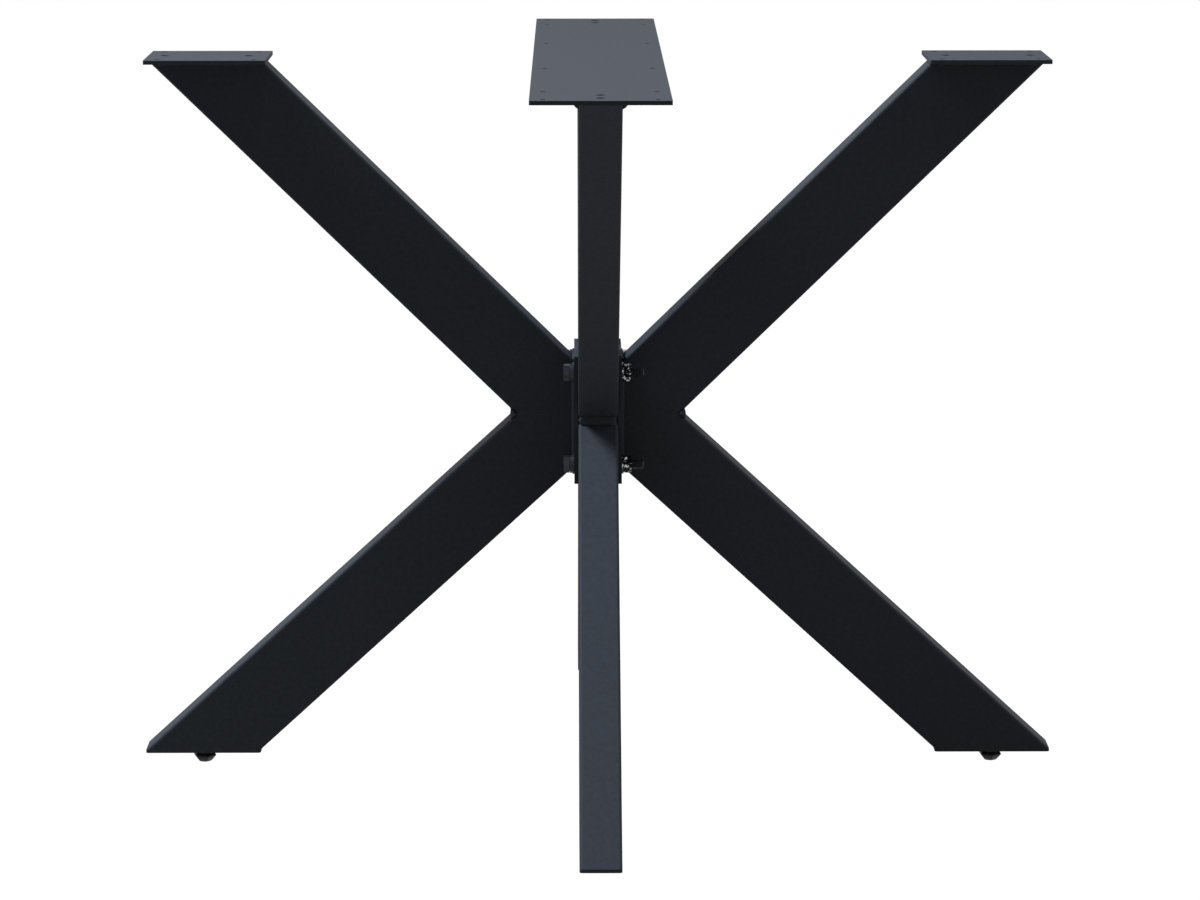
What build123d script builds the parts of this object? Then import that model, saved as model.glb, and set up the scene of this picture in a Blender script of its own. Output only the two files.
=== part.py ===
from build123d import *
import os
from math import atan, cos, degrees, radians, sin, tan

# A table base of black powder-coated steel. Two tubes on each of four sides leave one
# hub: an arm that slopes up to a top plate and a leg that slopes down to the floor.
# The front and rear tubes are one welded frame, with one long top plate. The left and
# right pairs are frames of their own, and four long bolts clamp them to the hub.
# The origin is on the floor under the middle of the hub, with the front at -Y.

# Overall sizes
overall_height = 730.0
hub_height = 367.5
arm_reach = 450.0
leg_reach = 466.0
centre_crotch_reach = 55.0
side_crotch_reach = 83.0

# Rectangular steel tube
tube_depth = 80.0
tube_width = 40.0
tube_wall = 2.0
tube_corner_radius = 3.0

# Top plates
top_plate_thickness = 4.0
plate_overhang = 2.0
plate_corner_radius = 2.0
centre_plate_width = 130.0
side_plate_width = 110.0
side_plate_inner_overhang = 5.2
screw_hole_diameter = 5.5
screw_hole_inset = 12.5
outer_row_spacing = 734.0
inner_row_spacing = 275.0
vent_hole_diameter = 9.0
centre_vent_inset = 26.0
centre_vent_pitch = 27.0
side_vent_inset = 12.0

# Hub plates
hub_plate_width = 116.0
hub_plate_height = 131.0
hub_plate_thickness = 4.0
bolt_spacing_y = 92.0
bolt_spacing_z = 94.0
bolt_hole_clearance = 0.5

# Hub bolts, washers and nuts
bolt_diameter = 10.0
bolt_length = 75.0
bolt_head_flats = 16.0
bolt_head_height = 6.4
bolt_tip_chamfer = 1.2
washer_diameter = 20.0
washer_thickness = 2.0
washer_bore_clearance = 0.25
lock_washer_diameter = 18.0
lock_washer_thickness = 2.5
lock_washer_split = 1.5
nut_flats = 16.0
nut_height = 8.0
thread_clearance = 0.05

# Feet
foot_plate_thickness = 3.0
glide_height = 13.0
glide_flats = 21.0
glide_foot_flats = 12.4
glide_taper_height = 6.0
glide_band_height = 1.2
glide_shoulder_height = 2.3
glide_neck_diameter = 18.5
glide_socket_depth = 8.0
glide_turn = 17.0
stud_diameter = 8.0
stud_reach = 24.0
stud_hole_clearance = 0.5
weld_nut_flats = 14.0
weld_nut_height = 8.0

# Weld beads
plate_bead_leg = 4.5
hub_bead_leg = 3.0
crotch_bead_leg = 7.0
crotch_bead_overrun = 2.5
bead_crown = 0.5

# Heights that follow
plate_underside = overall_height - top_plate_thickness
leg_bottom = glide_height + foot_plate_thickness
plate_reach = arm_reach + plate_overhang

# Faces across the hub, from the middle of the tubes outwards
tube_side = tube_width / 2
hub_plate_face = tube_side + hub_plate_thickness
bolt_seat = hub_plate_face + washer_thickness + lock_washer_thickness

# The four sides, by the way that each one points in the plan, and how far from the middle
# the inner ends of its tubes are cut upright and its arm and leg part
headings = {"right": 0, "rear": 90, "left": 180, "front": 270}
cut_faces = {"right": hub_plate_face, "rear": 0.0, "left": hub_plate_face, "front": 0.0}
crotch_reaches = {
    "right": side_crotch_reach,
    "rear": centre_crotch_reach,
    "left": side_crotch_reach,
    "front": centre_crotch_reach,
}

# Tips of the tubes, of an arm (1) and of a leg (-1)
reaches = {1: arm_reach, -1: leg_reach}
tip_heights = {1: plate_underside, -1: leg_bottom}


def outward(side):
    """Level direction in which a side leaves the hub."""
    angle = radians(headings[side])
    return Vector(cos(angle), sin(angle), 0)


def sideways(side):
    """Level direction across a side's tubes."""
    return Vector(0, 0, 1).cross(outward(side))


def slope(side, up):
    """Slope of a side's arm or leg, from its crotch to its tip."""
    return atan(abs(tip_heights[up] - hub_height) / (reaches[up] - crotch_reaches[side]))


def tube_direction(side, up):
    """Direction in which a side's arm or leg leaves the hub."""
    return outward(side) * cos(slope(side, up)) + Vector(0, 0, up * sin(slope(side, up)))


def level_cut_length(side, up):
    """Length of the level cut at a tube's tip."""
    return tube_depth / sin(slope(side, up))


def cut_height(side, up):
    """Height of the upright cut at a tube's inner end, from the hub height."""
    crotch_distance = crotch_reaches[side] - cut_faces[side]
    return tube_depth / cos(slope(side, up)) - crotch_distance * tan(slope(side, up))


def foot_distance(side):
    """Distance from the middle to a levelling foot, under the middle of the leg's cut."""
    return leg_reach - level_cut_length(side, -1) / 2


bolt_hole_radius = bolt_diameter / 2 + bolt_hole_clearance


def bolt_places(side=None, up=None):
    """Y and Z of the hub bolts: all four, or only the one in a front or rear tube."""
    ways_y = (-1, 1) if side is None else (outward(side).Y,)
    ways_z = (-1, 1) if up is None else (up,)
    return [(y * bolt_spacing_y / 2, hub_height + z * bolt_spacing_z / 2) for y in ways_y for z in ways_z]


def finish(builder, name):
    """Label a piece and write it to its own file."""
    builder.part.label = name
    export_step(builder.part, f"parts/{name}.step")


os.makedirs("parts", exist_ok=True)


# Arms and legs: a length of rectangular tube, cut level at its tip, mitred to its pair at
# the hub and cut upright at its inner end. Bolt holes go through the front and rear tubes.
def sloping_tube(side, up):
    away = outward(side)
    rise = Vector(0, 0, up)
    along = tube_direction(side, up)
    inward = rise * cos(slope(side, up)) - away * sin(slope(side, up))
    mitre = (along - tube_direction(side, -up)).normalized()
    crotch = away * crotch_reaches[side] + Vector(0, 0, hub_height)
    section = Plane(origin=crotch + inward * (tube_depth / 2), x_dir=sideways(side), z_dir=along)
    with BuildPart() as tube:
        with BuildSketch(section):
            RectangleRounded(tube_width, tube_depth, tube_corner_radius)
            RectangleRounded(
                tube_width - 2 * tube_wall,
                tube_depth - 2 * tube_wall,
                tube_corner_radius - tube_wall,
                mode=Mode.SUBTRACT,
            )
        extrude(amount=2 * reaches[up], both=True)
        split(bisect_by=Plane(origin=crotch, z_dir=mitre), keep=Keep.TOP)
        split(bisect_by=Plane(origin=(0, 0, tip_heights[up]), z_dir=rise), keep=Keep.BOTTOM)
        split(bisect_by=Plane(origin=away * cut_faces[side], z_dir=away), keep=Keep.TOP)
        if side in ("front", "rear"):
            with BuildSketch(Plane.YZ):
                with Locations(*bolt_places(side, up)):
                    Circle(bolt_hole_radius)
            extrude(amount=tube_width, both=True, mode=Mode.SUBTRACT)
    return tube


for side in headings:
    finish(sloping_tube(side, 1), f"{side}_upper_arm")
    finish(sloping_tube(side, -1), f"{side}_lower_leg")


# Centre top plate: one long flat bar over the front and rear arms, with screw holes in
# pairs along its edges and two vent holes over the mouth of each arm.
with BuildPart() as centre_top_plate:
    with BuildSketch(Plane.XY.offset(plate_underside)):
        RectangleRounded(centre_plate_width, 2 * plate_reach, plate_corner_radius)
        for row_spacing in (2 * (plate_reach - screw_hole_inset), outer_row_spacing, inner_row_spacing):
            with GridLocations(centre_plate_width - 2 * screw_hole_inset, row_spacing, 2, 2):
                Circle(screw_hole_diameter / 2, mode=Mode.SUBTRACT)
        for inset in (centre_vent_inset, centre_vent_inset + centre_vent_pitch):
            with GridLocations(0, 2 * (plate_reach - inset), 1, 2):
                Circle(vent_hole_diameter / 2, mode=Mode.SUBTRACT)
    extrude(amount=top_plate_thickness)
finish(centre_top_plate, "centre_top_plate")


# Side top plates: a short flat plate on each side arm, with a screw hole in each corner
# and a vent hole over each end of the arm's mouth.
def side_top_plate(side):
    plate_length = plate_overhang + level_cut_length(side, 1) + side_plate_inner_overhang
    plate_centre = plate_reach - plate_length / 2
    mouth_centre = arm_reach - level_cut_length(side, 1) / 2 - plate_centre
    mouth_length = level_cut_length(side, 1) - 2 * tube_wall / sin(slope(side, 1))
    vent_offset = mouth_length / 2 - side_vent_inset
    middle = outward(side) * plate_centre + Vector(0, 0, plate_underside)
    with BuildPart() as plate:
        with BuildSketch(Plane(origin=middle, x_dir=outward(side))):
            RectangleRounded(plate_length, side_plate_width, plate_corner_radius)
            with GridLocations(
                plate_length - 2 * screw_hole_inset,
                side_plate_width - 2 * screw_hole_inset,
                2,
                2,
            ):
                Circle(screw_hole_diameter / 2, mode=Mode.SUBTRACT)
            with Locations((mouth_centre - vent_offset, 0), (mouth_centre + vent_offset, 0)):
                Circle(vent_hole_diameter / 2, mode=Mode.SUBTRACT)
        extrude(amount=top_plate_thickness)
    return plate


for side in ("left", "right"):
    finish(side_top_plate(side), f"{side}_top_plate")


# Hub plates: a plate welded to the inner end of each side frame. It lies flat on the
# side of the centre frame's tubes, and the four bolts clamp the centre frame between two.
def hub_plate(side):
    across = outward(side)
    with BuildPart() as plate:
        with BuildSketch(Plane(origin=across * tube_side, x_dir=(0, 1, 0), z_dir=(1, 0, 0))):
            with Locations((0, hub_height)):
                RectangleRounded(hub_plate_width, hub_plate_height, plate_corner_radius)
            with Locations(*bolt_places()):
                Circle(bolt_hole_radius, mode=Mode.SUBTRACT)
        extrude(amount=hub_plate_thickness * across.X)
    return plate


for side in ("left", "right"):
    finish(hub_plate(side), f"{side}_hub_plate")


# Foot plates: the flat cap welded over the level cut at the bottom of each leg, with a
# clearance hole for the levelling stud.
def foot_plane(side, height):
    """Level plane over one foot, with X pointing away from the hub."""
    return Plane(origin=outward(side) * foot_distance(side) + Vector(0, 0, height), x_dir=outward(side))


def foot_plate(side):
    with BuildPart() as plate:
        with BuildSketch(foot_plane(side, glide_height)):
            RectangleRounded(level_cut_length(side, -1), tube_width, tube_corner_radius)
            Circle(stud_diameter / 2 + stud_hole_clearance, mode=Mode.SUBTRACT)
        extrude(amount=foot_plate_thickness)
    return plate


for side in headings:
    finish(foot_plate(side), f"{side}_foot_plate")


# Hexagon turned off at its corners, as on a bolt head or a nut. It lies along +X from
# the origin, and a nut has its corners turned at both ends.
def hexagon(flats, height, both_ends):
    corner = flats / 2 / cos(radians(30))
    turned = (corner - flats / 2) * tan(radians(30))
    near_radius = flats / 2 if both_ends else corner
    near_step = turned if both_ends else height / 2
    with BuildPart() as blank:
        with BuildSketch(Plane.YZ):
            RegularPolygon(flats / 2, 6, major_radius=False)
        extrude(amount=height)
        with BuildSketch(Plane.XY):
            with BuildLine():
                Polyline(
                    (0, 0),
                    (0, near_radius),
                    (near_step, corner),
                    (height - turned, corner),
                    (height, flats / 2),
                    (height, 0),
                    close=True,
                )
            make_face()
        revolve(axis=Axis.X, mode=Mode.INTERSECT)
    return blank.part


# Hub bolts: four long hexagon bolts with their heads on the left hub plate. They pass
# through both walls of the centre frame's tubes and clamp the two side frames to it.
bolt_head = hexagon(bolt_head_flats, bolt_head_height, False)
with BuildPart() as hub_bolt:
    with BuildSketch(Plane.YZ):
        Circle(bolt_diameter / 2)
    extrude(amount=bolt_length)
    chamfer(hub_bolt.faces().sort_by(Axis.X)[-1].edges(), bolt_tip_chamfer)
    add(bolt_head, rotation=(0, 0, 180))

with BuildPart() as hub_bolts:
    with Locations(*[(-bolt_seat, y, z) for y, z in bolt_places()]):
        add(hub_bolt.part)
finish(hub_bolts, "hub_bolts")


# Washers: a plain one on each hub plate, and a split spring washer under each bolt head.
def plain_washers(face):
    with BuildPart() as washers:
        with BuildSketch(Plane.YZ.offset(face)):
            with Locations(*bolt_places()):
                Circle(washer_diameter / 2)
                Circle(bolt_diameter / 2 + washer_bore_clearance, mode=Mode.SUBTRACT)
        extrude(amount=washer_thickness)
    return washers


finish(plain_washers(-hub_plate_face - washer_thickness), "hub_head_washers")
finish(plain_washers(hub_plate_face), "hub_nut_washers")

with BuildPart() as hub_lock_washers:
    with BuildSketch(Plane.YZ.offset(-bolt_seat)):
        with Locations(*bolt_places()):
            Circle(lock_washer_diameter / 2)
            Circle(bolt_diameter / 2 + washer_bore_clearance, mode=Mode.SUBTRACT)
        with Locations(*[(y, z + lock_washer_diameter / 2) for y, z in bolt_places()]):
            Rectangle(lock_washer_split, lock_washer_diameter, mode=Mode.SUBTRACT)
    extrude(amount=lock_washer_thickness)
finish(hub_lock_washers, "hub_lock_washers")


# Hub nuts: a hexagon nut on each bolt end, against its washer on the right hub plate.
nut_blank = hexagon(nut_flats, nut_height, True)
with BuildPart() as hub_nut:
    add(nut_blank)
    with BuildSketch(Plane.YZ):
        Circle(bolt_diameter / 2 + thread_clearance)
    extrude(amount=nut_height, mode=Mode.SUBTRACT)

with BuildPart() as hub_nuts:
    with Locations(*[(hub_plate_face + washer_thickness, y, z) for y, z in bolt_places()]):
        add(hub_nut.part)
finish(hub_nuts, "hub_nuts")


# Levelling feet: a nut welded over the hole in each foot plate, a threaded stud that
# screws into it, and a moulded glide with a hexagonal grip on the stud's lower end.
def weld_nut(side):
    with BuildPart() as nut:
        with BuildSketch(foot_plane(side, leg_bottom)):
            RegularPolygon(weld_nut_flats / 2, 6, major_radius=False)
            Circle(stud_diameter / 2 + thread_clearance, mode=Mode.SUBTRACT)
        extrude(amount=weld_nut_height)
    return nut


def foot_stud(side):
    with BuildPart() as stud:
        with BuildSketch(foot_plane(side, glide_height - glide_socket_depth)):
            Circle(stud_diameter / 2)
        extrude(amount=glide_socket_depth + stud_reach)
        chamfer(stud.faces().sort_by(Axis.Z)[-1].edges(), stud_diameter / 8)
    return stud


def foot_glide(side):
    band_bottom = glide_taper_height
    band_top = band_bottom + glide_band_height
    foot_taper = degrees(atan((glide_flats - glide_foot_flats) / 2 / glide_taper_height))
    shoulder_taper = degrees(atan((glide_flats - glide_neck_diameter) / 2 / glide_shoulder_height))
    with BuildPart() as glide:
        with BuildSketch(foot_plane(side, band_bottom)):
            RegularPolygon(glide_flats / 2, 6, major_radius=False, rotation=glide_turn)
        extrude(amount=glide_band_height)
        with BuildSketch(foot_plane(side, band_bottom)):
            RegularPolygon(glide_flats / 2, 6, major_radius=False, rotation=glide_turn)
        extrude(amount=-glide_taper_height, taper=foot_taper)
        with BuildSketch(foot_plane(side, band_top)):
            RegularPolygon(glide_flats / 2, 6, major_radius=False, rotation=glide_turn)
        extrude(amount=glide_shoulder_height, taper=shoulder_taper)
        with BuildSketch(foot_plane(side, band_top)):
            Circle(glide_neck_diameter / 2)
        extrude(amount=glide_height - band_top)
        with BuildSketch(foot_plane(side, glide_height)):
            Circle(stud_diameter / 2 + thread_clearance)
        extrude(amount=-glide_socket_depth, mode=Mode.SUBTRACT)
    return glide


for side in headings:
    finish(weld_nut(side), f"{side}_weld_nut")
    finish(foot_stud(side), f"{side}_foot_stud")
    finish(foot_glide(side), f"{side}_foot_glide")


# Weld beads: each one fills the corner between two faces with a slightly crowned fillet.
# It is drawn in the middle of its run, from the corner along the two faces.
def bead(corner, first, second, leg, run):
    section = Plane(origin=corner, x_dir=first, z_dir=first.cross(second))
    far = (leg * first.dot(second), leg * section.y_dir.dot(second))
    middle = Vector((leg + far[0]) / 2, far[1] / 2)
    with BuildPart() as fillet_bead:
        with BuildSketch(section):
            with BuildLine():
                Line((0, 0), (leg, 0))
                ThreePointArc((leg, 0), middle + middle.normalized() * bead_crown, far)
                Line(far, (0, 0))
            make_face()
        extrude(amount=run / 2, both=True)
    return fillet_bead.part


def arm_beads(side):
    """Beads of one side's arm: both sides of it under the top plate, and the crotch, where
    the centre frame's beads end flush, between the hub plates."""
    away = outward(side)
    down = Vector(0, 0, -1)
    corner_room = tube_corner_radius / sin(slope(side, 1))
    outer_end = arm_reach - plate_bead_leg / tan(slope(side, 1)) - corner_room
    inner_end = arm_reach - level_cut_length(side, 1) + corner_room
    middle = away * ((outer_end + inner_end) / 2) - down * plate_underside
    crotch = away * crotch_reaches[side] - down * hub_height
    crotch_run = tube_width
    if cut_faces[side] > tube_side:
        crotch_run += 2 * crotch_bead_overrun
    beads = [bead(crotch, tube_direction(side, 1), tube_direction(side, -1), crotch_bead_leg, crotch_run)]
    for across in (sideways(side), -sideways(side)):
        run = outer_end - inner_end
        beads.append(bead(middle + across * tube_side, across, down, plate_bead_leg, run))
    return beads


def notch_beads():
    """Beads across the two notches where the front and rear tubes meet."""
    run = tube_width - 2 * tube_corner_radius
    beads = []
    for up in (1, -1):
        corner = Vector(0, 0, hub_height + up * cut_height("front", up))
        faces = (tube_direction("front", up), tube_direction("rear", up))
        beads.append(bead(corner, *faces, plate_bead_leg, run))
    return beads


def hub_plate_beads(side):
    """Beads all round a side frame's tubes, against its hub plate."""
    face = outward(side) * hub_plate_face + Vector(0, 0, hub_height)
    top = cut_height(side, 1) - tube_corner_radius / cos(slope(side, 1))
    bottom = tube_corner_radius / cos(slope(side, -1)) - cut_height(side, -1)
    middle = face + Vector(0, 0, (top + bottom) / 2)
    beads = []
    for across in (sideways(side), -sideways(side)):
        beads.append(bead(middle + across * tube_side, across, outward(side), hub_bead_leg, top - bottom))
    for up in (1, -1):
        rise = Vector(0, 0, up)
        run = tube_width - 2 * tube_corner_radius
        corner = face + rise * cut_height(side, up)
        beads.append(bead(corner, rise, tube_direction(side, up), hub_bead_leg, run))
    return beads


weld_groups = {
    "centre_frame_welds": arm_beads("front") + arm_beads("rear") + notch_beads(),
    "left_frame_welds": arm_beads("left") + hub_plate_beads("left"),
    "right_frame_welds": arm_beads("right") + hub_plate_beads("right"),
}
for name, beads in weld_groups.items():
    with BuildPart() as welds:
        add(beads)
    finish(welds, name)

for side in ("front", "left"):
    print(side, "slopes", round(degrees(slope(side, 1)), 2), round(degrees(slope(side, -1)), 2))
    print(side, "cut heights", round(cut_height(side, 1), 2), round(cut_height(side, -1), 2))
    print(side, "foot distance", round(foot_distance(side), 3))
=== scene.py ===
import math
import random

import bmesh
import bpy
from mathutils import Matrix, Vector


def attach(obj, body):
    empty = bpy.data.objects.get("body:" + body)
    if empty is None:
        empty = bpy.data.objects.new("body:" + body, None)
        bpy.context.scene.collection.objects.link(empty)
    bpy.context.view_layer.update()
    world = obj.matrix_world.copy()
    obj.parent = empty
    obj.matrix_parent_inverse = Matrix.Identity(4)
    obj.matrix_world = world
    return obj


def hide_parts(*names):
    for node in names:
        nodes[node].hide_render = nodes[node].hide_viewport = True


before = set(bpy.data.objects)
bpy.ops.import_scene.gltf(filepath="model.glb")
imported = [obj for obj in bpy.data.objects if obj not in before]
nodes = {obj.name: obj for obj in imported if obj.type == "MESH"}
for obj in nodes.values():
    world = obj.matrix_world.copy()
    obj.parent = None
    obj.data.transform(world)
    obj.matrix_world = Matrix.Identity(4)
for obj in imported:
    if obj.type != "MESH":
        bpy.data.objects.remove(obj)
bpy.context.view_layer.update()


# The photograph's camera: a long lens, a little above the height of the top plates and
# almost square to the front. All of its numbers come from the straight edges of the tubes.
camera_place = Vector((-0.02689, -4.27473, 1.11765))
camera_pitch = math.radians(10.486)
camera_yaw = math.radians(0.391)
camera_roll = math.radians(0.007)
camera_sensor = 36.0
photo_width_px = 1200
focal_length_px = 4249.8

look = Vector((
    math.sin(camera_yaw) * math.cos(camera_pitch),
    math.cos(camera_yaw) * math.cos(camera_pitch),
    -math.sin(camera_pitch),
))
level_right = Vector((math.cos(camera_yaw), -math.sin(camera_yaw), 0))
level_down = look.cross(level_right)
camera_right = level_right * math.cos(camera_roll) + level_down * math.sin(camera_roll)
camera_up = level_right * math.sin(camera_roll) - level_down * math.cos(camera_roll)
camera_data = bpy.data.cameras.new("photo_camera")
camera_data.sensor_width = camera_sensor
camera_data.lens = focal_length_px / photo_width_px * camera_sensor
camera_data.clip_end = 50
camera = bpy.data.objects.new("photo_camera", camera_data)
axes = Matrix((camera_right, camera_up, -look)).transposed()
camera.matrix_world = Matrix.Translation(camera_place) @ axes.to_4x4()
bpy.context.scene.collection.objects.link(camera)
bpy.context.scene.camera = camera


# Tubes and plates: eight lengths of 80 by 40 mm rectangular steel tube, saw cut and welded,
# with laser-cut plates, 4 mm on top and at the hub and 3 mm under the legs. Everything was
# blasted and powder coated in one go after welding, in a fine-textured satin black.
def linear(hex_colour):
    """The linear colour of an sRGB hex value."""
    parts = [int(hex_colour[i:i + 2], 16) / 255 for i in (1, 3, 5)]
    return [p / 12.92 if p <= 0.04045 else ((p + 0.055) / 1.055) ** 2.4 for p in parts] + [1.0]


def new_material(name):
    """A material with an empty node tree."""
    material = bpy.data.materials.new(name)
    material.use_nodes = True
    material.node_tree.nodes.clear()
    return material


def node(material, kind, settings=None, inputs=None):
    """Add a node, with its settings, and its inputs as values or as links from other nodes."""
    made = material.node_tree.nodes.new(kind)
    for key, value in (settings or {}).items():
        setattr(made, key, value)
    for key, value in (inputs or {}).items():
        if isinstance(value, bpy.types.NodeSocket):
            material.node_tree.links.new(value, made.inputs[key])
        else:
            made.inputs[key].default_value = value
    return made


def ramp(material, factor, stops):
    """A colour ramp through the given (position, colour) stops."""
    made = node(material, "ShaderNodeValToRGB", None, {"Fac": factor})
    elements = made.color_ramp.elements
    for element, (position, colour) in zip(elements, stops):
        element.position, element.color = position, colour
    return made.outputs["Color"]


def object_place(material):
    """The place on a piece, in metres."""
    return node(material, "ShaderNodeTexCoord").outputs["Object"]


def noise(material, place, size, detail, roughness):
    """Cloudy noise from 0 to 1, with features of a size in mm."""
    return node(
        material, "ShaderNodeTexNoise", None,
        {"Vector": place, "Scale": 1000 / size, "Detail": detail, "Roughness": roughness},
    ).outputs["Fac"]


def gloss(material, factor, low, high):
    """Roughness that runs from one value to another over the middle of a noise."""
    return node(
        material, "ShaderNodeMapRange", None,
        {"Value": factor, "From Min": 0.3, "From Max": 0.7, "To Min": low, "To Max": high},
    ).outputs["Result"]


def principled(material, inputs):
    """End a material in one Principled surface."""
    shader = node(material, "ShaderNodeBsdfPrincipled", None, inputs).outputs["BSDF"]
    node(material, "ShaderNodeOutputMaterial", None, {"Surface": shader})


coat_grain = 2.0
coat_mottle = 5.0
coat_edge_radius = 0.0009
coat_peel_height = 0.00022

# Powder coat on steel: a matt to satin black skin with a fine orange peel, which scatters
# most of its shine. The eye gets soft, broad highlights, a slight cloudiness, and paler
# corners. The real peel is under a millimetre across, too fine to show, so it is drawn at two.
powder_coat = new_material("satin_black_powder_coat")
coat_place = object_place(powder_coat)
coat_peel = noise(powder_coat, coat_place, coat_grain, 3.0, 0.55)
coat_cloud = noise(powder_coat, coat_place, coat_mottle, 4.0, 0.6)
coat_colours = [(0.30, linear("#191c1f")), (0.72, linear("#232629"))]
coat_edge = node(
    powder_coat, "ShaderNodeBevel", {"samples": 6}, {"Radius": coat_edge_radius},
).outputs["Normal"]
coat_relief = node(
    powder_coat, "ShaderNodeBump", None,
    {"Height": coat_peel, "Strength": 0.6, "Distance": coat_peel_height, "Normal": coat_edge},
).outputs["Normal"]
principled(powder_coat, {
    "Base Color": ramp(powder_coat, coat_cloud, coat_colours),
    "Roughness": gloss(powder_coat, coat_cloud, 0.64, 0.74),
    "Normal": coat_relief,
    "IOR": 1.5,
    "Specular IOR Level": 0.10,
})


def dress(piece, material):
    """Give a piece one material in all its slots."""
    if not piece.material_slots:
        piece.data.materials.append(material)
    for held in piece.material_slots:
        held.material = material


sides = {"front": (0, -1), "rear": (0, 1), "left": (-1, 0), "right": (1, 0)}
for side in sides:
    for part in ("upper_arm", "lower_leg", "foot_plate"):
        dress(nodes[f"{side}_{part}"], powder_coat)
dress(nodes["centre_top_plate"], powder_coat)
for side in ("left", "right"):
    dress(nodes[f"{side}_top_plate"], powder_coat)
    dress(nodes[f"{side}_hub_plate"], powder_coat)


# Weld beads: fillets run by hand with a wire torch under the top plates, across the crotches
# and round the tubes at the hub plates, then coated over. Each is a row of overlapping
# puddles, a little uneven, with a rounded lump where it starts and stops.
hub_height = 0.3675
arm_reach = 0.450
leg_reach = 0.466
plate_underside = 0.726
leg_bottom = 0.016
tube_depth = 0.080
tube_side = 0.020
tube_corner = 0.003
crotch_reaches = {"front": 0.055, "rear": 0.055, "left": 0.083, "right": 0.083}
hub_plate_face = 0.024
plate_bead = 0.0045
notch_bead = 0.0045
crotch_bead = 0.007
hub_bead = 0.003
level_run = 0.034
crotch_runs = {"front": 0.040, "rear": 0.040, "left": 0.045, "right": 0.045}
puddle_pitch = 0.0022
puddle_depth = 0.00035
bead_sink = 0.0004
steps_in_puddle = 5
bead_points = 9

# Shares of a bead's leg: its usual size, how far that wanders and its limit, its crown, the
# length over which it closes, and the place and length of its lumps. A puddle leans by a
# share of the pitch, and a lump's height is a share of the bead's size.
bead_share, bead_wander, bead_limit = 0.93, 0.03, 1.12
bead_crown, bead_closing = 0.10, 0.45
lump_place, lump_length = 0.7, 0.6
puddle_lean = 0.35
plate_lump, crotch_lump, hub_lump = 0.25, 0.12, 0.1
random.seed(7)


def slope(side, up):
    """Slope of a side's arm (up 1) or leg (up -1)."""
    rise = plate_underside - hub_height if up > 0 else hub_height - leg_bottom
    return math.atan(rise / ((arm_reach if up > 0 else leg_reach) - crotch_reaches[side]))


def along_tube(side, up):
    """Direction in which a side's arm or leg leaves the hub."""
    x, y = sides[side]
    angle = slope(side, up)
    return Vector((x * math.cos(angle), y * math.cos(angle), up * math.sin(angle)))


def cut_height(side, up):
    """Height of a tube's upright cut at the hub, from the hub height."""
    angle = slope(side, up)
    crotch = crotch_reaches[side] - (hub_plate_face if side in ("left", "right") else 0)
    return tube_depth / math.cos(angle) - crotch * math.tan(angle)


def add_bead(form, corner, first, second, leg, run, lump):
    """Add one bead to a mesh: a fillet between two faces, swept along their corner."""
    along = first.cross(second).normalized()
    outward = (first + second).normalized()
    puddles = round(run / puddle_pitch)
    count = puddles * steps_in_puddle
    wander = [random.uniform(-1, 1) for _ in range(puddles + 3)]
    rings = []
    for k in range(count + 1):
        t = k / count
        place = t * run / puddle_pitch
        puddle = place - math.floor(place)
        crest = math.sqrt(max(0.0, 1 - (2 * puddle - 1) ** 2))
        end = min(t, 1 - t) * run
        closing = min(1.0, end / (bead_closing * leg)) ** 0.5
        swell = 1 + lump * math.exp(-((end - lump_place * leg) / (lump_length * leg)) ** 2)
        size = leg * (bead_share + bead_wander * wander[int(place)]) * closing
        size = min(size * swell, leg * bead_limit)
        middle = corner + along * (t - 0.5) * run
        ring = [middle - outward * bead_sink]
        for j in range(bead_points):
            u = j / (bead_points - 1)
            reach = first * (1 - u) + second * u
            arch = 4 * u * (1 - u)
            bulge = arch * (bead_crown * size + puddle_depth * crest * closing)
            lean = along * (-puddle_lean * puddle_pitch * arch)
            ring.append(middle + reach * size + outward * bulge + lean)
        rings.append([form.verts.new(p) for p in ring])
    for a, b in zip(rings, rings[1:]):
        for j in range(len(a)):
            n = (j + 1) % len(a)
            form.faces.new((a[j], a[n], b[n], b[j]))
    form.faces.new(reversed(rings[0]))
    form.faces.new(rings[-1])


def add_piece(name, form, material, body, smooth_angle):
    """Turn a finished mesh into a piece that rides on a body."""
    bmesh.ops.recalc_face_normals(form, faces=form.faces)
    mesh = bpy.data.meshes.new(name)
    form.to_mesh(mesh)
    form.free()
    piece = bpy.data.objects.new(name, mesh)
    bpy.context.scene.collection.objects.link(piece)
    mesh.shade_smooth()
    mesh.set_sharp_from_angle(angle=math.radians(smooth_angle))
    mesh.materials.append(material)
    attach(piece, body)
    return piece


def add_arm_beads(form, side):
    """Both sides of an arm under its top plate, and its crotch."""
    x, y = sides[side]
    away, down = Vector((x, y, 0)), Vector((0, 0, -1))
    angle = slope(side, 1)
    corner_room = tube_corner / math.sin(angle)
    outer_end = arm_reach - plate_bead / math.tan(angle) - corner_room
    inner_end = arm_reach - tube_depth / math.sin(angle) + corner_room
    run = outer_end - inner_end
    middle = away * (outer_end + inner_end) / 2 - down * plate_underside
    for across in (Vector((-y, x, 0)), Vector((y, -x, 0))):
        add_bead(form, middle + across * tube_side, across, down, plate_bead, run, plate_lump)
    crotch = away * crotch_reaches[side] - down * hub_height
    arm, leg = along_tube(side, 1), along_tube(side, -1)
    add_bead(form, crotch, arm, leg, crotch_bead, crotch_runs[side], crotch_lump)


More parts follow.
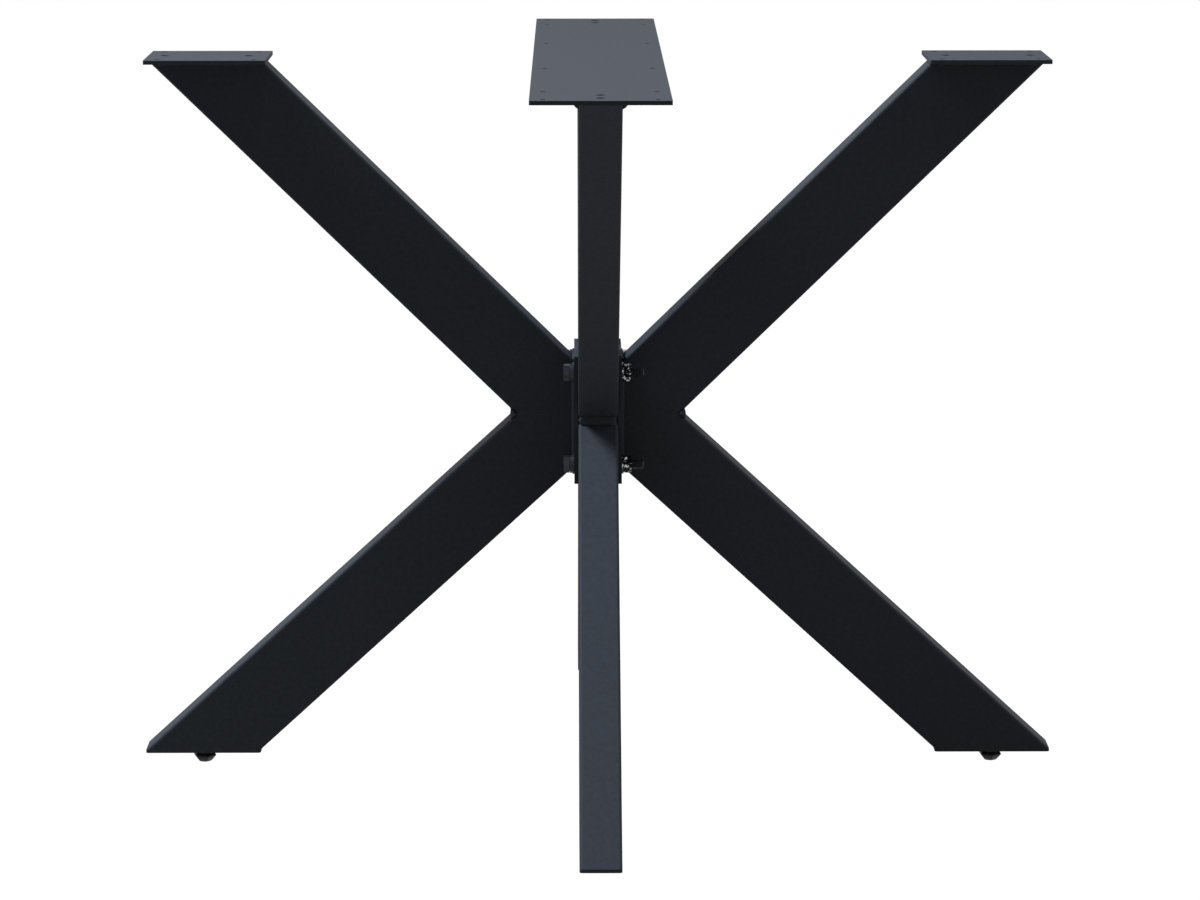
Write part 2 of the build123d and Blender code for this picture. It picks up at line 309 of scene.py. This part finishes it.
form = bmesh.new()
add_arm_beads(form, "front")
add_arm_beads(form, "rear")
for up in (1, -1):
    corner = Vector((0, 0, hub_height + up * cut_height("front", up)))
    ahead, behind = along_tube("front", up), along_tube("rear", up)
    add_bead(form, corner, ahead, behind, notch_bead, level_run, plate_lump)
centre_beads = add_piece("centre_frame_weld_beads", form, powder_coat, "frame", 60)
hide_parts("centre_frame_welds")

for side, x in (("left", -1), ("right", 1)):
    form = bmesh.new()
    add_arm_beads(form, side)
    top = cut_height(side, 1) - tube_corner / math.cos(slope(side, 1))
    bottom = tube_corner / math.cos(slope(side, -1)) - cut_height(side, -1)
    away = Vector((x, 0, 0))
    for y in (-1, 1):
        corner = Vector((x * hub_plate_face, y * tube_side, hub_height + (top + bottom) / 2))
        across = Vector((0, y, 0))
        add_bead(form, corner, across, away, hub_bead, top - bottom, hub_lump)
    for up in (1, -1):
        corner = Vector((x * hub_plate_face, 0, hub_height + up * cut_height(side, up)))
        rise = Vector((0, 0, up))
        add_bead(form, corner, rise, along_tube(side, up), hub_bead, level_run, hub_lump)
    name = f"{side}_frame_weld_beads"
    side_beads = add_piece(name, form, powder_coat, "frame", 60)
    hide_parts(f"{side}_frame_welds")


# Hub bolts: four long M10 hexagon bolts with their heads on the left hub plate, forged and
# part threaded, in black oxide, each with a plain washer and a split spring washer under
# its head. Only the heads and the last threads past the nuts show.
bolt_diameter = 0.010
bolt_pitch = 0.0015
thread_depth_share = 0.61
bolt_length = 0.075
bolt_head_flats = 0.016
bolt_head_height = 0.0064
bolt_thread_length = 0.032
thread_runout = 0.001
bolt_tip_chamfer = 0.0006
bolt_seat = -0.0285
head_cap_radius = 0.0048
head_face_radius = 0.00736
head_turning = 1.1
washer_face_radius = 0.00768
washer_face_shoulder = 0.00784
washer_face_height = 0.0004
washer_face_step = 0.0001
turned_share = 0.48
turned_steps = 5
head_segments = 96
shank_segments = 32
bolt_places = [(y, hub_height + z) for y in (-0.046, 0.046) for z in (-0.047, 0.047)]

# Black oxide on steel: a dark blue grey, slightly oily, with a soft metallic gleam.
oxide_mottle = 2.5
black_steel = new_material("black_oxide_steel")
oxide_cloud = noise(black_steel, object_place(black_steel), oxide_mottle, 4.0, 0.6)
oxide_colours = [(0.3, linear("#1b1d20")), (0.7, linear("#282a2d"))]
oxide_relief = node(
    black_steel, "ShaderNodeBump", None,
    {"Height": oxide_cloud, "Strength": 0.3, "Distance": 0.00008},
).outputs["Normal"]
principled(black_steel, {
    "Base Color": ramp(black_steel, oxide_cloud, oxide_colours),
    "Metallic": 0.6,
    "Roughness": 0.36,
    "Normal": oxide_relief,
})


def add_rings(form, profile, place, turn, count, capped=True):
    """Sweep a profile of (distance, radius) points round an axis, with radius(angle) allowed."""
    rings = []
    for distance, radius in profile:
        ring = []
        for k in range(count):
            angle = 2 * math.pi * k / count
            r = radius(angle) if callable(radius) else radius
            point = Vector((distance, r * math.cos(angle), r * math.sin(angle)))
            ring.append(form.verts.new(place + turn @ point))
        rings.append(ring)
    for a, b in zip(rings, rings[1:]):
        for k in range(count):
            n = (k + 1) % count
            form.faces.new((a[k], a[n], b[n], b[k]))
    if capped:
        form.faces.new(reversed(rings[0]))
        form.faces.new(rings[-1])


def hexagon_radius(flats, limit):
    """Radius of a hexagon by angle, with its corners turned down to a limit."""
    def radius(angle):
        local = angle % (math.pi / 3) - math.pi / 6
        return min(flats / 2 / math.cos(local), limit)
    return radius


def turned_end(flats):
    """The (depth, radius) points of a hexagon's end, with its corners turned at 30 degrees."""
    corner = flats / 2 / math.cos(math.pi / 6)
    depth = (corner - flats / 2) * math.tan(math.radians(30))
    face = flats * turned_share
    shares = [k / turned_steps for k in range(turned_steps + 1)]
    return [(depth * u, hexagon_radius(flats, face + (corner - face) * u)) for u in shares]


def thread_core(diameter, pitch):
    """Radius of a thread's root."""
    return diameter / 2 - thread_depth_share * pitch


# One pitch of a thread: places along the axis as shares of the pitch, and their heights
thread_profile = [(-0.5, 0.0), (-0.4, 0.0), (-0.06, 1.0), (0.06, 1.0), (0.4, 0.0), (0.5, 0.0)]


def add_thread(form, start, end, diameter, pitch, place, turn):
    """Add a screw thread along an axis, as one winding strip of crests and roots."""
    count = shank_segments
    depth = thread_depth_share * pitch
    turns = (end - start) / pitch
    rows = []
    for k in range(round(turns * count) + 1):
        angle = 2 * math.pi * k / count
        middle = start + pitch * k / count
        fade = min(1.0, k / count, (turns * count - k) / count)
        row = []
        for offset, height in thread_profile:
            r = diameter / 2 - depth * (1 - height * fade)
            distance = min(max(middle + offset * pitch, start), end)
            point = Vector((distance, r * math.cos(angle), r * math.sin(angle)))
            row.append(form.verts.new(place + turn @ point))
        rows.append(row)
    for a, b in zip(rows, rows[1:]):
        for j in range(len(thread_profile) - 1):
            form.faces.new((a[j], a[j + 1], b[j + 1], b[j]))


no_turn = Matrix.Identity(3)
bolt_corner = bolt_head_flats / 2 / math.cos(math.pi / 6)
bolt_core = thread_core(bolt_diameter, bolt_pitch)
thread_start = bolt_length - bolt_thread_length
thread_end = bolt_length - bolt_tip_chamfer
head = [(-bolt_head_height, head_cap_radius), (-bolt_head_height, head_face_radius)]
for depth, radius in turned_end(bolt_head_flats):
    head.append((-bolt_head_height + head_turning * depth, radius))
head += [
    (-washer_face_height - washer_face_step, hexagon_radius(bolt_head_flats, bolt_corner)),
    (-washer_face_height, washer_face_shoulder),
    (0.0, washer_face_radius),
]
shank = [
    (0.0, bolt_diameter / 2), (thread_start - thread_runout, bolt_diameter / 2),
    (thread_start, bolt_core), (thread_end, bolt_core),
    (bolt_length, bolt_core - bolt_tip_chamfer),
]
form = bmesh.new()
for y, z in bolt_places:
    place = Vector((bolt_seat, y, z))
    add_rings(form, head, place, no_turn, head_segments)
    add_rings(form, shank, place, no_turn, shank_segments)
    add_thread(form, thread_start, thread_end, bolt_diameter, bolt_pitch, place, no_turn)
hub_bolts = add_piece("hub_bolts_threaded", form, black_steel, "frame", 30)
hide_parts("hub_bolts")


# Washers under the bolt heads: a stamped plain washer against the hub plate, and a spring
# washer coiled from square wire and split at its top.
washer_thickness = 0.002
washer_radius = 0.010
washer_bore = 0.00525
lock_washer_thickness = 0.0025
lock_washer_radius = 0.009
lock_washer_split = 0.0015
washer_edge = 0.0003
lock_washer_edge = 0.0002
lock_washer_steps = 56
washer_segments = 64


def add_plain_washers(form, face):
    """Four stamped washers with rolled edges, on the hub plate's outer side."""
    outline = [
        (0.0, washer_bore), (0.0, washer_radius - washer_edge), (washer_edge, washer_radius),
        (washer_thickness - washer_edge, washer_radius),
        (washer_thickness, washer_radius - washer_edge),
        (washer_thickness, washer_bore), (0.0, washer_bore),
    ]
    for y, z in bolt_places:
        place = Vector((face, y, z))
        add_rings(form, outline, place, no_turn, washer_segments, capped=False)
    bmesh.ops.remove_doubles(form, verts=form.verts, dist=1e-7)


form = bmesh.new()
add_plain_washers(form, -hub_plate_face - washer_thickness)
head_washers = add_piece("hub_head_washers_stamped", form, black_steel, "frame", 30)
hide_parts("hub_head_washers")

half_split = math.asin(lock_washer_split / 2 / lock_washer_radius)
section = [
    (0.0, washer_bore + lock_washer_edge),
    (0.0, lock_washer_radius - lock_washer_edge),
    (lock_washer_edge, lock_washer_radius),
    (lock_washer_thickness - lock_washer_edge, lock_washer_radius),
    (lock_washer_thickness, lock_washer_radius - lock_washer_edge),
    (lock_washer_thickness, washer_bore + lock_washer_edge),
    (lock_washer_thickness - lock_washer_edge, washer_bore),
    (lock_washer_edge, washer_bore),
]
form = bmesh.new()
for y, z in bolt_places:
    rings = []
    for k in range(lock_washer_steps + 1):
        turned = (2 * math.pi - 2 * half_split) * k / lock_washer_steps
        angle = math.pi / 2 + half_split + turned
        ring = []
        for distance, r in section:
            point = (bolt_seat + distance, y + r * math.cos(angle), z + r * math.sin(angle))
            ring.append(form.verts.new(point))
        rings.append(ring)
    for a, b in zip(rings, rings[1:]):
        for n in range(len(section)):
            m = (n + 1) % len(section)
            form.faces.new((a[n], a[m], b[m], b[n]))
    form.faces.new(reversed(rings[0]))
    form.faces.new(rings[-1])
lock_washers = add_piece("hub_lock_washers_split", form, black_steel, "frame", 30)
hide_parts("hub_lock_washers")


# Hub nuts and their washers: hexagon nuts turned at both ends and stamped plain washers,
# bright zinc plated. They were fitted after coating, so they are the one bright spot.
nut_flats = 0.016
nut_height = 0.008
nut_bore = 0.00505
nut_bore_chamfer = 0.0006
nut_face_radius = 0.00752

# Zinc plating on steel, smoke-grey from its passivation and mirror bright. Its colour is painted
# reflection: near-black and white patches about three millimetres across stand for the dark room
# and the white sparks that the plating mirrors. Its real dents and cloudy spots in the gloss are
# under a millimetre, too fine to show, so the dents, and the gloss that follows the painted
# patches, are drawn at about three.
painted_spark_size = 3.0
zinc_dent = 3.5
zinc_steel = new_material("bright_zinc_plated_steel")
zinc_place = object_place(zinc_steel)
zinc_painted_sparks_and_gloss = noise(zinc_steel, zinc_place, painted_spark_size, 2.0, 0.5)
zinc_dents = noise(zinc_steel, zinc_place, zinc_dent, 1.0, 0.5)
# Painted reflection: dark and bright patches in the base colour stand for mirrored surroundings
zinc_painted_reflection_colours = [(0.53, linear("#0d0f11")), (0.63, linear("#a4a6aa"))]
zinc_relief = node(
    zinc_steel, "ShaderNodeBump", None,
    {"Height": zinc_dents, "Strength": 1.0, "Distance": 0.0008},
).outputs["Normal"]
principled(zinc_steel, {
    "Base Color": ramp(zinc_steel, zinc_painted_sparks_and_gloss, zinc_painted_reflection_colours),
    "Metallic": 1.0,
    "Roughness": gloss(zinc_steel, zinc_painted_sparks_and_gloss, 0.12, 0.05),
    "Normal": zinc_relief,
})

form = bmesh.new()
add_plain_washers(form, hub_plate_face)
nut_washers = add_piece("hub_nut_washers_stamped", form, zinc_steel, "frame", 30)
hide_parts("hub_nut_washers")

nut_end = turned_end(nut_flats)
nut_outline = [
    (nut_bore_chamfer, nut_bore), (0.0, nut_bore + nut_bore_chamfer), (0.0, nut_face_radius),
]
nut_outline += nut_end
nut_outline += [(nut_height - depth, radius) for depth, radius in reversed(nut_end)]
nut_outline += [
    (nut_height, nut_face_radius), (nut_height, nut_bore + nut_bore_chamfer),
    (nut_height - nut_bore_chamfer, nut_bore), (nut_bore_chamfer, nut_bore),
]
form = bmesh.new()
for y, z in bolt_places:
    place = Vector((hub_plate_face + washer_thickness, y, z))
    add_rings(form, nut_outline, place, no_turn, head_segments, capped=False)
bmesh.ops.remove_doubles(form, verts=form.verts, dist=1e-7)
hub_nuts = add_piece("hub_nuts_chamfered", form, zinc_steel, "frame", 30)
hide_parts("hub_nuts")


# Weld nuts and studs of the feet: a hexagon weld nut inside each leg, over the hole in its
# foot plate, and a rolled M8 stud that screws into it. Both are zinc plated.
stud_diameter = 0.008
stud_pitch = 0.00125
stud_bottom = 0.005
stud_top = 0.037
stud_chamfer = 0.0005

# Turns what was swept round the X axis to stand upright
upright = Matrix(((0, -1, 0), (0, 0, -1), (1, 0, 0)))


def foot_place(side):
    """The point on the floor under a side's levelling foot."""
    x, y = sides[side]
    distance = leg_reach - tube_depth / math.sin(slope(side, -1)) / 2
    return Vector((x * distance, y * distance, 0))


stud_core = thread_core(stud_diameter, stud_pitch)
thread_bottom = stud_bottom + stud_chamfer
thread_top = stud_top - stud_chamfer
stud_shank = [
    (stud_bottom, stud_core - stud_chamfer), (thread_bottom, stud_core),
    (thread_top, stud_core), (stud_top, stud_core - stud_chamfer),
]
for side in sides:
    dress(nodes[f"{side}_weld_nut"], zinc_steel)
    form = bmesh.new()
    place = foot_place(side)
    add_rings(form, stud_shank, place, upright, shank_segments)
    add_thread(form, thread_bottom, thread_top, stud_diameter, stud_pitch, place, upright)
    name, body = f"{side}_foot_stud_threaded", f"{side}_foot"
    stud = add_piece(name, form, zinc_steel, body, 30)
    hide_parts(f"{side}_foot_stud")


# Glides: the moulded feet that turn on the floor, in black polyamide. Each has a hexagonal
# grip that tapers to a small flat foot, and a round neck on top, and stands at its own turn.
glide_height = 0.013
glide_flats = 0.021
glide_foot = 0.0124
glide_taper = 0.006
glide_band = 0.0012
glide_shoulder = 0.0023
glide_neck = 0.0185
glide_bore = 0.00405
glide_centre = 0.002
foot_edge_width = 0.0007
foot_edge_height = 0.0004
band_edge = 0.0003
shoulder_edge = 0.0002
neck_edge = 0.0005
hexagon_corner_radius = 0.0003
band_roundness = 0.12
glide_segments = 120
glide_turns = {"front": 30, "rear": 40, "left": 17, "right": 5}

# Moulded polyamide: deep black, a little scuffed, with soft highlights along its facets.
glide_scuff = 1.2
glide_plastic = new_material("moulded_black_polyamide")
glide_cloud = noise(glide_plastic, object_place(glide_plastic), glide_scuff, 3.0, 0.5)
glide_colours = [(0.3, linear("#131314")), (0.7, linear("#1c1c1d"))]
principled(glide_plastic, {
    "Base Color": ramp(glide_plastic, glide_cloud, glide_colours),
    "Roughness": gloss(glide_plastic, glide_cloud, 0.30, 0.42),
    "IOR": 1.53,
    "Specular IOR Level": 0.12,
})


def soft_hexagon(flats, roundness):
    """Radius of a hexagon by angle, with its corners rounded to a share of its size."""
    def radius(angle):
        local = angle % (math.pi / 3) - math.pi / 6
        corner = flats / 2 / math.cos(math.pi / 6)
        exact = flats / 2 / math.cos(local)
        limit = flats / 2 + (corner - flats / 2) * (1 - roundness)
        straight = limit - hexagon_corner_radius
        if exact <= straight:
            return exact
        past = (exact - straight) / hexagon_corner_radius
        return straight + hexagon_corner_radius * math.tanh(past)
    return radius


band_top = glide_taper + glide_band
shoulder_top = band_top + glide_shoulder
glide_outline = [
    (0.0, glide_centre),
    (0.0, soft_hexagon(glide_foot - 2 * foot_edge_width, 0.5)),
    (foot_edge_height, soft_hexagon(glide_foot, 0.3)),
    (glide_taper, soft_hexagon(glide_flats - 0.0002, band_roundness)),
    (glide_taper + band_edge, soft_hexagon(glide_flats, band_roundness)),
    (band_top - band_edge, soft_hexagon(glide_flats, band_roundness)),
    (band_top, soft_hexagon(glide_flats - 0.0003, 0.14)),
    (shoulder_top - shoulder_edge, soft_hexagon(glide_neck + 0.0004, 0.9)),
    (shoulder_top + shoulder_edge, glide_neck / 2),
    (glide_height - neck_edge, glide_neck / 2),
    (glide_height, glide_neck / 2 - neck_edge),
    (glide_height, glide_bore),
    (stud_bottom, glide_bore),
]
for side in sides:
    x, y = sides[side]
    heading = math.atan2(y, x) + math.radians(glide_turns[side] + 30)
    turn = Matrix.Rotation(heading, 3, "Z") @ upright
    form = bmesh.new()
    add_rings(form, glide_outline, foot_place(side), turn, glide_segments)
    name, body = f"{side}_foot_glide_moulded", f"{side}_foot"
    glide = add_piece(name, form, glide_plastic, body, 25)
    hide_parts(f"{side}_foot_glide")


# The studio: a plain pale floor that shows as white and keeps a faint shadow, in a white
# room, with soft lamps above, to the left and to the right, and two pale cards in front.
def larger(material, first, second):
    """The larger of two values."""
    return node(
        material, "ShaderNodeMath", {"operation": "MAXIMUM"}, {0: first, 1: second},
    ).outputs["Value"]


def seen_or_mirrored(material):
    """1 for rays from the camera, or mirrored in or passed through a surface, and else 0."""
    path = node(material, "ShaderNodeLightPath").outputs
    mirrored = larger(material, path["Is Glossy Ray"], path["Is Transmission Ray"])
    return larger(material, path["Is Camera Ray"], mirrored)


# The floor is white to the eye but for a small share, which keeps the base's shadow
floor_white_share = 0.95
floor_corners = [(-9, -7), (9, -7), (9, 16), (-9, 16)]

floor_material = new_material("pale_studio_floor")
floor_diffuse = node(
    floor_material, "ShaderNodeBsdfDiffuse", None, {"Color": linear("#aaa69e")},
).outputs["BSDF"]
floor_white = node(
    floor_material, "ShaderNodeEmission", None, {"Color": linear("#ffffff"), "Strength": 1.05},
).outputs["Emission"]
floor_share = node(
    floor_material, "ShaderNodeMath", {"operation": "MULTIPLY"},
    {0: seen_or_mirrored(floor_material), 1: floor_white_share},
).outputs["Value"]
floor_shader = node(
    floor_material, "ShaderNodeMixShader", None,
    {0: floor_share, 1: floor_diffuse, 2: floor_white},
).outputs["Shader"]
node(floor_material, "ShaderNodeOutputMaterial", None, {"Surface": floor_shader})

form = bmesh.new()
form.faces.new([form.verts.new((x, y, 0)) for x, y in floor_corners])
floor_mesh = bpy.data.meshes.new("studio_floor")
form.to_mesh(floor_mesh)
form.free()
floor_mesh.materials.append(floor_material)
floor = bpy.data.objects.new("studio_floor", floor_mesh)
bpy.context.scene.collection.objects.link(floor)

world = bpy.data.worlds.new("studio_room")
bpy.context.scene.world = world
world.use_nodes = True
world.node_tree.nodes.clear()
room_light = node(
    world, "ShaderNodeBackground", None, {"Color": linear("#f2f6ff"), "Strength": 0.025},
).outputs["Background"]
room_seen = node(
    world, "ShaderNodeBackground", None, {"Color": linear("#ffffff"), "Strength": 1.0},
).outputs["Background"]
room_shader = node(
    world, "ShaderNodeMixShader", None,
    {0: seen_or_mirrored(world), 1: room_light, 2: room_seen},
).outputs["Shader"]
node(world, "ShaderNodeOutputWorld", None, {"Surface": room_shader})


def add_lamp(name, place, aim, width, height, watts, colour):
    """A rectangular soft lamp at a place, turned to the point that it aims at."""
    data = bpy.data.lights.new(name, "AREA")
    data.shape = "RECTANGLE"
    data.size = width
    data.size_y = height
    data.energy = watts
    data.color = linear(colour)[:3]
    lamp = bpy.data.objects.new(name, data)
    facing = Vector(aim) - Vector(place)
    lamp.rotation_euler = facing.to_track_quat("-Z", "Y").to_euler()
    lamp.location = place
    bpy.context.scene.collection.objects.link(lamp)


# The left lamp is the key: it lights the plates and the front leg from above, and casts
# the diagonal shadow below the crotch. The others only open up the shadows.
add_lamp("left_softbox", (-2.3, 0.1, 4.2), (0, -0.2, 0.35), 1.3, 1.3, 660, "#e0eaff")
add_lamp("right_softbox", (2.6, -0.2, 2.8), (0, -0.2, 0.35), 1.6, 1.6, 60, "#eef3ff")
add_lamp("overhead_softbox", (0, -0.4, 3.0), (0, -0.2, 0), 0.3, 1.2, 14, "#f2f5ff")
add_lamp("left_card", (-2.4, -2.0, 0.9), (0.0, -0.1, 0.4), 1.0, 1.0, 1.5, "#e6ecf8")
add_lamp("right_card", (2.4, -2.0, 0.9), (0.0, -0.1, 0.4), 1.0, 1.0, 8, "#e6ecf8")

bpy.context.scene.view_settings.view_transform = "Standard"
